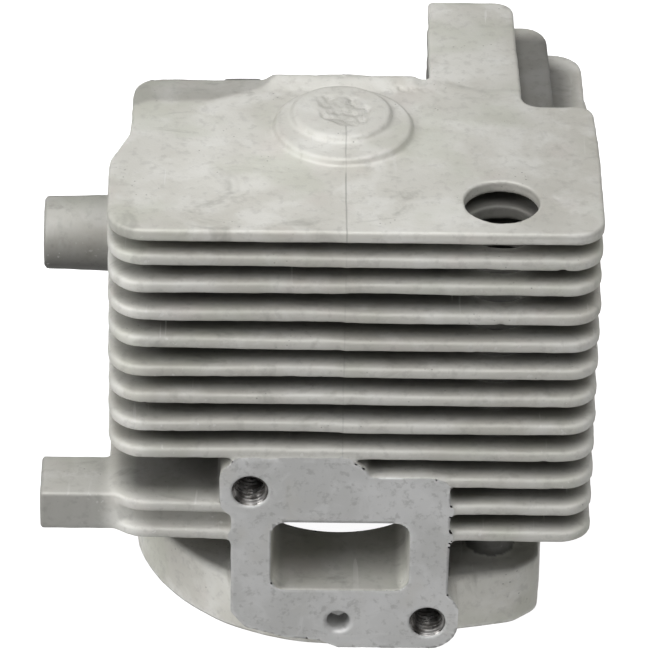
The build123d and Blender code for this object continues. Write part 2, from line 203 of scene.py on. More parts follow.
for k in range(1, 13):
    z0 = fin_z[k]
    s, X, Y, Z = sub(-39.5, 43, -37, 38.5, z0, z0 + FIN_T, pad=2.4)
    d2 = poly(rounded(PLAN.get(k, FULL)), X, Y)
    if k == 10:
        notch = np.maximum(X + F32(18.0), Y + F32(14.0))     # the fin stops short over the lower side boss
        d2 = smax(d2, -notch, 2.0)
    half = np.clip((X - F32(0.3)) / F32(0.25), -1, 1)       # the two mould halves are slightly out of step
    off = rng.uniform(0.02, 0.06)
    d2 = d2 + F32(0.05) * waves(100 + k, 15.0, X, Y) + F32(0.018) * waves(130 + k, 4.0, X, Y) - F32(off) * half
    tick = F32(rng.uniform(0.10, 0.22)) * np.exp(-((X - F32(0.3)) / F32(0.35)) ** 2) * (Y < -30)
    d2 = d2 - tick
    root = np.clip(-d2 / F32(18.0), 0, 1)
    ht = F32(1.03) + F32(0.18) * root + F32(0.03) * waves(160 + k, 16.0, X, Y)
    zc = F32(z0 + FIN_T / 2) + F32(0.10) * waves(190 + k, 34.0, X, Y) + F32(0.02) * waves(220 + k, 12.0, X, Y)
    zc = zc + F32(rng.uniform(-0.05, 0.05)) * half
    if k == 1:
        # the plate falls away behind a ridge on its left, and rises to a lip behind the crown
        ridge = np.interp(xs[s[0]], (-38.0, -35.3, -32.5, -22.4, -16.6, -13.7, -12.0),
                          (1.0, 1.5, 3.2, 3.4, 6.1, 7.9, 9.5)).astype(F32)[:, None, None]
        fall = np.clip((Y - ridge) / F32(1.5), 0, 1) * np.clip((F32(-12.2) - X) / F32(1.6), 0, 1)
        fall = fall * (F32(0.22) + F32(0.22) * np.clip((Y - ridge) / F32(8.0), 0, 1))
        lip = F32(0.75) * np.clip((Y - F32(7.6)) / F32(3.0), 0, 1) * np.clip((F32(13.2) - np.abs(X)) / F32(1.5), 0, 1)
        ht = F32(1.1) + F32(0.02) * waves(160 + k, 12.0, X, Y) + (lip - fall) * F32(0.5)
        zc = F32(z0 + 1.1) + F32(0.03) * waves(190 + k, 26.0, X, Y) + (lip - fall) * F32(0.5)
    fin = both(d2, np.abs(Z - zc) - ht, 0.62 if k > 1 else 0.42)
    join(s, fin, 1.7)

# ------------------------------------------------------------------ base flange
corner = [(0, 0, 0), (8.0, -33.97, 0), (20.0, -30.5, 2.0), (30.0, -28.2, 4.0), (34.4, -24.2, 4.5), (35.2, -14.0, 6.0), (35.2, 0, 0)]
s, X, Y, Z = sub(-36, 36, -36, 36, -1.5, 11)
plan = np.minimum(np.sqrt(X * X + Y * Y) - F32(BASE_R), poly(rounded(corner), X, Y))
plan = np.minimum(plan, poly(rounded([(-a, -b, r) for a, b, r in corner]), X, Y))
plan = plan + F32(0.05) * waves(301, 9.0, X, Y)
draft = (Z - F32(5.0)) * F32(0.012)
join(s, both(plan + draft, np.abs(Z - F32(4.75)) - F32(6.25), 0.6), 1.4)

for bx, by in SCREWS:
    s, X, Y, Z = sub(bx - 4, bx + 4, by - 4, by + 4, 9, 15)
    rr = np.sqrt((X - F32(bx)) ** 2 + (Y - F32(by)) ** 2)
    join(s, both(rr - F32(3.65), np.abs(Z - F32(11.5)) - F32(3.0), 0.4), 1.6)

# ------------------------------------------------------------------ transfer passages outside the barrel
for sx in (-1, 1):
    s, X, Y, Z = sub(*sorted((sx * 17, sx * 33)), -12, 12, 8, 43)
    d = rbox(X * sx, Y, Z, 14, 32.6, -11.6, 11.6, 6, 42.6, 3.0)
    d = smax(d, (X * sx - F32(32.6)) * F32(0.75) + (Z - F32(34.5)) * F32(0.66), 2.5)
    join(s, d, 1.6)

# ------------------------------------------------------------------ nicks along the fin edges
rng = np.random.RandomState(23)
for _ in range(84):
    k = rng.randint(1, 13)
    z = fin_z[k] + (FIN_T if rng.rand() < 0.6 else 0.0) + rng.uniform(-0.25, 0.25)
    side = rng.rand()
    if side < 0.62:
        t = rng.beta(0.55, 0.55) if k > 1 else rng.rand()
        p = (-33 + 71 * t, -36.0 + rng.uniform(-0.5, 0.1), z)
    elif side < 0.8:
        p = (42.4 + rng.uniform(0.0, 0.5), rng.uniform(-31, 30 if k > 3 else 2), z)
    else:
        p = (-35.6 - rng.uniform(0.0, 0.5), rng.uniform(-6, 30 if k > 4 else 8), z)
    r = rng.uniform(0.30, 0.62)
    s, X, Y, Z = sub(p[0] - r, p[0] + r, p[1] - r, p[1] + r, p[2] - r, p[2] + r, pad=1.2)
    ball = np.sqrt((X - F32(p[0])) ** 2 + (Y - F32(p[1])) ** 2 * F32(1.6) + (Z - F32(p[2])) ** 2) - F32(r)
    C[s] = smax(C[s], -ball, 0.25)

# ------------------------------------------------------------------ intake flange, duct and stud boss
FACE = [(-18.1, 7.6, 1.5), (-15.6, 4.3, 1.5), (-9, 2.3, 2), (-3, 1.6, 1), (0.6, 0, 1), (20.5, 0, 5.2), (20.5, 8.8, 3),
        (18.6, 11.6, 2), (18.6, 35.5, 4), (5.3, 35.5, 0.9), (4.1, 37.6, 1.8), (1.2, 39, 0.6), (-17.4, 39, 2.2), (-20.1, 36.2, 3), (-20.1, 30.2, 3), (-18.1, 27.8, 1.5)]
s, X, Y, Z = sub(-21, 21, -37, -26, -1, 40)
face2 = poly(rounded(FACE), X, Z + 0 * X)
face2 = face2 + (Y + F32(36.2)) * F32(0.025) + F32(0.05) * waves(320, 6.0, X, Y, Z)
join(s, both(face2, np.abs(Y - F32(-31.4)) - F32(5.4), 0.55), 1.3)
s, X, Y, Z = sub(-16, 16.5, -30, -6, 0, 32)
join(s, rbox(X, Y, Z, -15.4, 15.9, -30, -6, -1.5, 30.5, 2.6), 1.6)
s, X, Y, Z = sub(-21, -8, -30, -19, 22, 39)
d = both(np.sqrt((X + 15) ** 2 + (Z - F32(32.4)) ** 2) - F32(5.2), np.abs(Y - F32(-25.0)) - F32(4.5), 0.8)
d = smin(d, rbox(X, Y, Z, -15.4, -9.0, -29.5, -20.5, 24, 36.5, 0.8), 0.6)
join(s, d, 1.4)

# ------------------------------------------------------------------ exhaust flange and duct
EXFACE = [(-15, EZ - 10.6, 4), (15, EZ - 10.6, 4), (24.5, EZ - 4.2, 5), (24.5, EZ + 4.2, 5), (15, EZ + 10.6, 4), (-15, EZ + 10.6, 4),
          (-24.5, EZ + 4.2, 5), (-24.5, EZ - 4.2, 5)]
s, X, Y, Z = sub(-25, 25, 28, 39, 22, 45)
ex2 = poly(rounded(EXFACE), X, Z + 0 * X) - (Y - F32(38.0)) * F32(0.02)
join(s, both(ex2, np.abs(Y - F32(33.8)) - F32(4.8), 0.55), 1.3)
s, X, Y, Z = sub(-16, 16, 8, 31, 23, 43.5)
join(s, rbox(X, Y, Z, -15, 15, 6, 31, EZ - 9.4, EZ + 9.4, 2.6), 1.5)

# ------------------------------------------------------------------ side bosses
s, X, Y, Z = sub(-51, -13, 0, 16, 47, 63)
rr = np.sqrt((Y - 8) ** 2 + (Z - 55) ** 2)
taper = F32(7.2) - (F32(-14.0) - X) / F32(36.6) + F32(0.03) * waves(340, 8.0, X, Y, Z)
join(s, both(rr - taper, np.abs(X - F32(-31.0)) - F32(19.6), 0.7), 1.8)
s, X, Y, Z = sub(-51, -35, -34.5, -21.5, 22, 31)
join(s, rbox(X, Y, Z, -50.2, -36.5, -33.7, -22.5, 22.6, 29.9, 0.45), 0.7)
s, X, Y, Z = sub(-40.5, -17, -34.5, -21.5, 22, 31)
join(s, rbox(X, Y, Z, -41, -17.0, -33.7, -22.5, 23.4, 28.8, 0.5), 0.8)

# ------------------------------------------------------------------ spark plug pocket and boss
s, X, Y, Z = sub(-17, 17, 0, 41, 48, 88)
U = (Y - F32(SEAT[0])) * F32(PD[0]) + (Z - F32(SEAT[1])) * F32(PD[1])
W = (Y - F32(SEAT[0])) * F32(PD[1]) - (Z - F32(SEAT[1])) * F32(PD[0])
RP = np.sqrt(X * X + W * W)
pocket = both(RP - F32(14.3), F32(-0.2) - U, 0.3)
C[s] = smax(C[s], -pocket, 0.8)
boss = both(RP - F32(13.5), np.abs(U + F32(4.8)) - F32(5.4), 0.5)
boss = smax(boss, Z - F32(84.9), 0.8)
join(s, boss, 1.0)

# ------------------------------------------------------------------ crown disc
s, X, Y, Z = sub(-14, 14, -16, 13, 83, 87, pad=1.4)
rc = np.sqrt((X - F32(CROWN[0])) ** 2 + (Y - F32(CROWN[1])) ** 2) + F32(0.05) * waves(360, 7.0, X, Y)
r2 = np.sqrt((X - F32(CROWN2[0])) ** 2 + (Y - F32(CROWN2[1])) ** 2) + F32(0.06) * waves(361, 6.0, X, Y)
low = both((rc - (F32(11.8) - (Z - F32(84.2)) * F32(0.45))) * F32(0.92), np.abs(Z - F32(84.2)) - F32(1.15), 0.22)
high = both((r2 - (F32(8.75) - (Z - F32(85.3)) * F32(0.75))) * F32(0.8), np.abs(Z - F32(85.1)) - F32(1.25), 0.22)
gate = poly(np.array([(-5.0, 2.7), (-4.25, -2.3), (-3.2, -5.1), (0.3, -6.8), (4.3, -5.3), (4.25, -1.0), (2.2, 2.3), (-1.2, 3.1)]),
            X + F32(0.25) * waves(372, 2.2, X, Y), Y + F32(0.25) * waves(373, 2.4, X, Y))
rough_in = F32(0.36) + F32(0.13) * waves(371, 2.3, X, Y) + F32(0.12) * waves(375, 1.5, X, Y) + F32(0.10) * waves(374, 1.05, X, Y) - F32(0.03) * (Y + F32(2.0))
torn = F32(86.36) - np.clip(-gate / F32(0.35), 0, 1) * np.clip(rough_in, 0.02, 0.8)
high = smax(high, Z - torn, 0.1)
join(s, smin(low, high, 0.12), 0.2)

# ------------------------------------------------------------------ skin unevenness of the casting
step = 40
for i in range(0, nx, step):
    Xb, Yb, Zb = xs[i:i + step][:, None, None], ys[None, :, None], zs[None, None, :]
    C[i:i + step] += F32(0.022) * waves(401, 6.5, Xb, Yb, Zb, 4) + F32(0.013) * waves(402, 2.4, Xb, Yb, Zb, 4)

# small pits in the top plate
for _ in range(46):
    px, py = rng.uniform(-35, 39), rng.uniform(-34, 9)
    r = rng.uniform(0.25, 0.5)
    if rng.rand() < 0.35:
        px, py, r = rng.normal(10.7, 0.9), rng.normal(8.0, 0.5), rng.uniform(0.28, 0.42)
    s, X, Y, Z = sub(px - r, px + r, py - r, py + r, 84.2 - r, 84.2 + r, pad=1.0)
    ball = np.sqrt((X - F32(px)) ** 2 + (Y - F32(py)) ** 2 + (Z - F32(84.2 + 0.62 * r)) ** 2) - F32(r)
    C[s] = smax(C[s], -ball, 0.2)

# ------------------------------------------------------------------ hollows left by the mould, edges slightly rounded
K = np.full((nx, ny, nz), 4.0, F32)


def hollow(s, d):
    K[s] = np.minimum(K[s], d)


PORT = [(-11.4, 12.2, 2.6), (12.0, 12.2, 2.6), (12.0, 26.3, 2.6), (-11.4, 26.3, 2.6)]
s, X, Y, Z = sub(-12, 12.5, -38, -12, 12, 27)
hollow(s, np.maximum(poly(rounded(PORT), X, Z + 0 * X) + np.maximum(Y + F32(36.2), 0) * F32(0.045), Y + F32(12.0)))
EXPORT = [(-11.5, 27.5, 3), (11.5, 27.5, 3), (11.5, 39, 3), (-11.5, 39, 3)]
s, X, Y, Z = sub(-12, 12, 12, 40, 27, 39.5)
hollow(s, np.maximum(poly(rounded(EXPORT), X, Z + 0 * X), F32(12.0) - Y))
for sx in (-1, 1):
    s, X, Y, Z = sub(*sorted((sx * 22, sx * 30)), -9, 9, -2, 38.5)
    hollow(s, rbox(X * sx, Y, Z, 23.0, 29.5, -8.5, 8.5, -6, 38.0, 1.2))
    s, X, Y, Z = sub(*sorted((sx * 13, sx * 30)), -9, 9, 28, 38.5)
    hollow(s, rbox(X * sx, Y, Z, 13.0, 29.5, -8.5, 8.5, 28.5, 38.0, 1.2))
for hx, hy in ((25.7, -26.2), (-26.1, 20.4)):
    s, X, Y, Z = sub(hx - 6.5, hx + 6.5, hy - 6.5, hy + 6.5, 15.8, 89)
    rr = np.sqrt((X - F32(hx)) ** 2 + (Y - F32(hy)) ** 2) + F32(0.06) * waves(381, 6.0, X, Y, Z)
    hollow(s, np.maximum(rr - (F32(6.2) - (F32(84.2) - Z) * F32(0.0354)), F32(16.0) - Z))
near = np.abs(C + K) < 1.0
C = np.where(near, smax(C, -K, 0.26), np.maximum(C, -K))
del K, near

# ------------------------------------------------------------------ machined faces and holes, edges crisp
M = np.full((nx, ny, nz), 4.0, F32)


def mill(s, d):
    M[s] = np.minimum(M[s], d)


s, X, Y, Z = sub(-22, 22, -39, -35.5, -2, 41, pad=2.0)
mill(s, np.broadcast_to(Y + F32(36.2), C[s].shape))
s, X, Y, Z = sub(-26, 26, 37.6, 41, 20, 46, pad=1.5)
mill(s, np.broadcast_to(F32(38.0) - Y, C[s].shape))
s, X, Y, Z = sub(-52, 44, -38, 40, -2, 0.2, pad=2.0)
mill(s, np.broadcast_to(Z, C[s].shape))
arc_r = (15.0 ** 2 + 8.2 ** 2) / (2 * 8.2)
arc_c = DECK_Z + 9.0 - arc_r
bore = [(-4, -6), (BORE_R + PLATING_T, -6), (BORE_R + PLATING_T, DECK_Z), (BORE_R, DECK_Z), (15.0, DECK_Z + 0.8)]
for j in range(1, 9):
    a = math.asin(15.0 / arc_r) * (1 - j / 8)
    bore.append((arc_r * math.sin(a), arc_c + arc_r * math.cos(a)))
bore.append((-4, DECK_Z + 9.0))
s, X, Y, Z = sub(-21, 21, -21, 21, -2, 67)
R = np.sqrt(X * X + Y * Y)
mill(s, poly(np.array(bore), R, Z + 0 * R))
s, X, Y, Z = sub(-16, 16, 0, 41, 45, 88)
U = (Y - F32(SEAT[0])) * F32(PD[0]) + (Z - F32(SEAT[1])) * F32(PD[1])
W = (Y - F32(SEAT[0])) * F32(PD[1]) - (Z - F32(SEAT[1])) * F32(PD[0])
RP = np.sqrt(X * X + W * W)
mill(s, np.maximum(RP - F32(14.2), -U))
mill(s, np.maximum(np.maximum(RP - F32(7.0), -F32(26.0) - U), U - F32(3.0)))
mill(s, np.maximum(RP - (F32(7.0) + U + F32(1.0)), np.abs(U) - F32(1.0)))
for sx, sz in STUDS:
    s, X, Y, Z = sub(sx - 4, sx + 4, -37.5, -22.5, sz - 4, sz + 4, pad=1.5)
    rr = np.sqrt((X - F32(sx)) ** 2 + (Z - F32(sz)) ** 2)
    mill(s, np.maximum(rr - F32(2.98), Y - F32(-23.2)))
    mill(s, np.maximum((rr - (F32(3.3) - (Y + F32(36.2)) * F32(0.8))) * F32(0.78), Y - F32(-35.6)))
s, X, Y, Z = sub(-2.5, 2.8, -37.5, -27, -2, 8, pad=1.5)
rr = np.sqrt((X - F32(0.15)) ** 2 + (Z - F32(5.45)) ** 2)
mill(s, np.maximum(rr - F32(1.9), Y + F32(27.0)))
mill(s, np.maximum((rr - (F32(2.45) - (Y + F32(36.2)) * F32(0.8))) * F32(0.78), Y - F32(-35.3)))
mill(s, np.maximum(np.sqrt((X - F32(0.15)) ** 2 + (Y + F32(29.5)) ** 2) - F32(1.9), Z - F32(5.45)))
for bx, by in SCREWS:
    s, X, Y, Z = sub(bx - 4, bx + 4, by - 4, by + 4, -2, 15.5, pad=1.0)
    rr = np.sqrt((X - F32(bx)) ** 2 + (Y - F32(by)) ** 2)
    mill(s, rr - F32(2.6))
for sx in (-1, 1):
    s, X, Y, Z = sub(sx * 18.5 - 4, sx * 18.5 + 4, 28, 39.5, EZ - 4, EZ + 4, pad=1.5)
    rr = np.sqrt((X - F32(sx * 18.5)) ** 2 + (Z - F32(EZ)) ** 2)
    mill(s, np.maximum(rr - F32(2.98), F32(30.0) - Y))
    mill(s, np.maximum((rr - (F32(3.3) + (Y - F32(38.0)) * F32(0.8))) * F32(0.78), F32(37.4) - Y))
for hy, hz, xe, dep in ((8.0, 55.0, -50.6, 14.0), (-28.1, 26.25, -50.2, 9.5)):
    s, X, Y, Z = sub(xe - 1, xe + dep, hy - 4, hy + 4, hz - 4, hz + 4, pad=1.5)
    rr = np.sqrt((Y - F32(hy)) ** 2 + (Z - F32(hz)) ** 2)
    mill(s, np.maximum(rr - F32(2.46), X - F32(xe + dep)))
    mill(s, X - F32(xe + 0.0) + 0 * rr)

# ------------------------------------------------------------------ surface
grid = openvdb.FloatGrid(4.0)
grid.copyFromArray(np.maximum(C, -M))
pts, quads = grid.convertToQuads(isovalue=0.0)
del grid
origin = np.array((XLO, YLO, ZLO))
pts = pts.astype(np.float64) * H + origin
quads = quads.astype(np.int64)


def sample(A, P):
    """Trilinear value of a field at points."""
    q = (P - origin) / H
    out = np.empty(len(P), np.float64)
    for i in range(0, len(P), 400000):
        g = q[i:i + 400000]
        b = np.clip(np.floor(g).astype(np.int64), 0, (nx - 2, ny - 2, nz - 2))
        f = np.clip(g - b, 0, 1)
        v = 0
        for dx in (0, 1):
            wx = f[:, 0] if dx else 1 - f[:, 0]
            for dy in (0, 1):
                wy = f[:, 1] if dy else 1 - f[:, 1]
                for dz in (0, 1):
                    wz = f[:, 2] if dz else 1 - f[:, 2]
                    v = v + wx * wy * wz * A[b[:, 0] + dx, b[:, 1] + dy, b[:, 2] + dz]
        out[i:i + 400000] = v
    return out


def slope(A, P, e):
    g = np.empty((len(P), 3))
    for j in range(3):
        d = np.zeros(3)
        d[j] = e
        g[:, j] = (sample(A, P + d) - sample(A, P - d)) / (2 * e)
    return g


# settle the corners of the mesh on the skin, and on both surfaces where they meet
for _ in range(3):
    c, m = sample(C, pts), -sample(M, pts)
    edge = (np.abs(c) < 0.75 * H) & (np.abs(m) < 0.75 * H)
    on_c = ~edge & (c >= m)
    on_m = ~edge & (c < m)
    for mask, A, val, sign in ((on_c, C, c, 1), (on_m, M, m, -1)):
        i = np.nonzero(mask)[0]
        g = sign * slope(A, pts[i], 0.5 * H)
        n2 = np.maximum((g * g).sum(1), 0.15)
        d = -(val[i] / n2)[:, None] * g
        L = np.linalg.norm(d, axis=1, keepdims=True)
        pts[i] += d * np.minimum(1, 0.35 * H / np.maximum(L, 1e-9))
    i = np.nonzero(edge)[0]
    a, b = slope(C, pts[i], 0.5 * H), -slope(M, pts[i], 0.5 * H)
    aa, bb, ab = (a * a).sum(1), (b * b).sum(1), (a * b).sum(1)
    det = aa * bb - ab * ab
    ok = det > 0.08
    det = np.where(ok, det, 1)
    la = (-c[i] * bb + m[i] * ab) / det
    lb = (-m[i] * aa + c[i] * ab) / det
    d = la[:, None] * a + lb[:, None] * b
    act = np.where(c[i] >= m[i], 1.0, 0.0)
    g = np.where(act[:, None] > 0, a, b)
    v = np.where(act > 0, c[i], m[i])
    alone = -(v / np.maximum((g * g).sum(1), 0.15))[:, None] * g
    d = np.where(ok[:, None], d, alone)
    L = np.linalg.norm(d, axis=1, keepdims=True)
    pts[i] += d * np.minimum(1, 0.5 * H / np.maximum(L, 1e-9))

# which surface each face belongs to, and the normal of that surface at its corners
mid = pts[quads].mean(1)
cm, mm = sample(C, mid), -sample(M, mid)
milled = mm > cm
gc = slope(C, pts, 0.8 * H)
gm = -slope(M, pts, 0.35 * H)
gc /= np.maximum(np.linalg.norm(gc, axis=1, keepdims=True), 1e-6)
gm /= np.maximum(np.linalg.norm(gm, axis=1, keepdims=True), 1e-6)
tri = np.cross(pts[quads[:, 1]] - pts[quads[:, 0]], pts[quads[:, 2]] - pts[quads[:, 0]]) \
    + np.cross(pts[quads[:, 2]] - pts[quads[:, 0]], pts[quads[:, 3]] - pts[quads[:, 0]])
tri /= np.maximum(np.linalg.norm(tri, axis=1, keepdims=True), 1e-12)
# edge wear with painted highlight, and painted shade: how thin or how enclosed the metal is around each point
nv = np.where((sample(C, pts) >= -sample(M, pts) - 0.05)[:, None], gc, gm)
FULLF = np.maximum(C, -M)
edge_wear_and_highlight = np.clip((sample(FULLF, pts - 0.9 * nv) + 0.9) / 0.9, 0, 1)
shade = np.clip(1 - sample(FULLF, pts + 1.4 * nv) / 1.4, 0, 1)

# painted light and shade, region by region: parts are made lighter or darker where light falls on them or fails to
# reach; only the greyer gate patch is the metal's own tone
px, py, pz = pts[:, 0], pts[:, 1], pts[:, 2]
painted_light_and_tone = np.ones(len(pts))


def tint(mask, v):
    global painted_light_and_tone
    painted_light_and_tone = painted_light_and_tone * (1 + (v - 1) * np.clip(mask, 0, 1))


# painted light: the upper face of the top plate is lighter
tint(pz > 82.3, 1.12)
# painted shade: the upper side boss is darker, and much darker on its lower side
on_up = np.clip((-36.8 - px) / 2.5, 0, 1) * (np.hypot(py - 8, pz - 55) < 7.6)
tint(on_up, 0.78)
tint(on_up * np.clip((58.0 - pz) / 6, 0, 1), 0.34)
# painted shade: the lower side boss is darker, and darker again below its top face
on_low = np.clip((-37.5 - px) / 3.0, 0, 1) * (pz < 31) * (py < -20)
tint(on_low, 0.90)
tint(on_low * np.clip((29.75 - pz) / 0.3, 0, 1), 0.80)
# painted shade on the plate where it falls away behind the ridge
tint(np.clip((py - np.interp(px, (-38.0, -35.3, -32.5, -22.4, -16.6, -13.7, -12.0), (1.6, 2.1, 3.8, 4.0, 6.7, 8.5, 10.1))) / 1.2, 0, 1)
     * (px < -11.5) * (pz > 81), 0.72)
# painted light on the foot of the base flange, stronger on the left than on the right
tint(np.clip((10.8 - pz) / 1.2, 0, 1) * np.clip(-px / 6, 0, 1), 1.50)
tint(np.clip((10.8 - pz) / 1.2, 0, 1) * np.clip(px / 6, 0, 1), 1.32)
# painted shade on the right of the top plate, and a painted pool of light on its front left
tint((pz > 83.5) * np.clip((px - 14) / 16, 0, 1), 0.88)
tint((pz > 83.5) * np.clip(1 - np.hypot(px + 14, py + 16) / 22, 0, 1), 1.10)
# painted light on the left ends of the fins, and less on their right ends
tint((pz < 82) * (pz > 11.5) * np.clip((-31.0 - px) / 4.0, 0, 1) * np.clip((px + 40.5) / 2.5, 0, 1), 1.30)
tint(np.clip((px - 37) / 4, 0, 1) * (pz < 82) * (pz > 11.5), 1.10)
inner = -poly(rounded(FULL), px.astype(F32), py.astype(F32))          # painted shade: the gaps are darker deep inside
deep = np.clip((inner - 1.0) / 3.8, 0, 1) * (pz < 81.95) * (pz > 11.3)
deep *= 1 - (((np.abs(px) < 15) & (py < -24) & (pz < 31)) | ((np.abs(px) < 12.6) & (py < -12) & (pz > 11.9) & (pz < 26.8)) | (np.hypot(px, py) < 21))
tint(deep, 0.38)
# painted light on the side walls of the intake port
port_side = np.clip((np.abs(px) - 9.8) / 1.0, 0, 1) * (np.abs(px) < 13) * (py > -35.8) * (py < -14) * (pz > 12.4) * (pz < 26.4)
tint(port_side, 1.6)
# painted shade inside the bore and the intake port
tint(((np.hypot(px, py) < 20.6) & (pz < 60) | (py < -12) & (np.abs(px) < 12.5) & (py > -35.6) & (pz > 11.9) & (pz < 26.6)), 0.80)

in_gate = -poly(np.array([(-5.0, 2.7), (-4.25, -2.3), (-3.2, -5.1), (0.3, -6.8), (4.3, -5.3), (4.25, -1.0), (2.2, 2.3), (-1.2, 3.1)]),
               px.astype(F32), py.astype(F32))
tint(np.clip(in_gate / 0.4, 0, 1) * (pz > 85.4), 0.90)

# ------------------------------------------------------------------ which CAD node each face stands for
x, y, z = mid[:, 0], mid[:, 1], mid[:, 2]
r = np.hypot(x, y)
u = (y - SEAT[0]) * PD[0] + (z - SEAT[1]) * PD[1]
w = (y - SEAT[0]) * PD[1] - (z - SEAT[1]) * PD[0]
rp = np.hypot(x, w)
xf, zf = x.astype(F32), z.astype(F32)
node = np.full(len(mid), "", dtype="U24")
fin_mid = np.array([fin_z[k] + 1.1 for k in range(1, 13)])
near_fin = np.abs(z[:, None] - fin_mid[None, :]).argmin(1) + 1
for k in range(1, 13):
    name = "fin_%02d" % k
    pick = near_fin == k
    if k == 1:
        node[pick] = "fin_01_top_plate"
    elif k in (10, 11):
        node[pick & (x < 0)] = name + "_left"
        node[pick & (x >= 0)] = name + "_right"
        if k == 10:
            node[pick & (x > -12) & (y < -24)] = name + "_right"
    else:
        node[pick] = name
cone_r = np.interp(z, (57.5, 67.0, 82.0), (BARREL_R, BARREL_R, 17.0))
node[(r < cone_r + 0.35) & (z > DECK_Z) & (z < 82.1)] = "head_dome"
node[(r < BARREL_R + 0.35) & (z <= DECK_Z) & (z > 39.5)] = "barrel_upper"
node[(r < BARREL_R + 0.35) & (z <= 39.5) & (z > 26.3)] = "barrel_port_belt"
node[(r < BARREL_R + 0.35) & (z <= 26.3)] = "barrel_lower"
node[(r < 20.2) & (z > 57.3) & (z < 70)] = "head_dome"
for sx, name in ((-1, "transfer_passage_left"), (1, "transfer_passage_right")):
    xx = x * sx
    inside = (xx > 21.6) & (xx < 33.1) & (np.abs(y) < 12.1) & (z < 42.9) & (r > BARREL_R - 0.3)
    inside &= ((xx - 32.6) * 0.75 + (z - 34.5) * 0.66) < 0.5
    node[inside] = name
duct = (x > -15.9) & (x < 16.4) & (y < -18.5) & (z < 31.0) & (r > BARREL_R + 0.1)
duct |= (x > -20.7) & (x < -8.6) & (y < -20.0) & (z > 23.5) & (z < 38.1) & (np.hypot(x + 15, z - 32.4) < 5.7) & (r > BARREL_R)
duct |= (x > -15.9) & (x < -8.6) & (y < -20.0) & (z > 23.5) & (z < 36.9) & (r > BARREL_R)
node[duct] = "intake_duct"
exd = (np.abs(x) < 15.4) & (y > 19.0) & (np.abs(z - EZ) < 9.8) & (r > BARREL_R + 0.1)
node[exd] = "exhaust_duct"
node[(poly(rounded(EXFACE), xf, zf) < 0.4) & (y > 28.8)] = "exhaust_flange"
upb = (np.hypot(y - 8, z - 55) < 7.2 - (-14.0 - x) / 36.6 + 0.35) & (x < -22.0) & (r > BARREL_R + 0.2)
node[upb] = "upper_side_boss"
lob = (x < -38.9) & (y < -22.0) & (z > 22.2) & (z < 30.4) & (y > -34.2)
lob |= (x < -18.5) & (x > -41) & (y > -34.0) & (y < -22.2) & (z > 24.6) & (z < 27.9)
node[lob] = "lower_side_boss"
node[(rp < 13.85) & (u > -10.2) & (u < 0.6) & (z > 57.0) & (z < 85.3) & (y > 4.0) & ~((z > 84.0) & (u < -8.0))] = "spark_plug_boss"
node[(z <= 11.25)] = "base_flange"
node[(r < BARREL_R + 0.35) & (z > 11.0) & (z <= 12.2)] = "barrel_foot"
for bx, by in SCREWS:
    node[(np.hypot(x - bx, y - by) < 4.3) & (z > 11.0) & (z < 15.0)] = "base_screw_bosses"
face_in = (poly(rounded(FACE), xf, zf) < 0.45) & (y < -26.15)
node[face_in] = "intake_flange"
node[face_in & (z <= 12.2)] = "intake_flange_foot"
node[(z > 84.45) & ((np.hypot(x - CROWN[0], y - CROWN[1]) < 12.1) | (np.hypot(x - CROWN2[0], y - CROWN2[1]) < 8.9)) & (y < 10.9)] = "crown_boss"


# ------------------------------------------------------------------ materials
def new_mat(name):
    m = bpy.data.materials.new(name)
    m.use_nodes = True
    nt = m.node_tree
    nt.nodes.clear()
    out = nt.nodes.new("ShaderNodeOutputMaterial")
    bsdf = nt.nodes.new("ShaderNodeBsdfPrincipled")
    nt.links.new(bsdf.outputs[0], out.inputs[0])
    return m, nt, bsdf


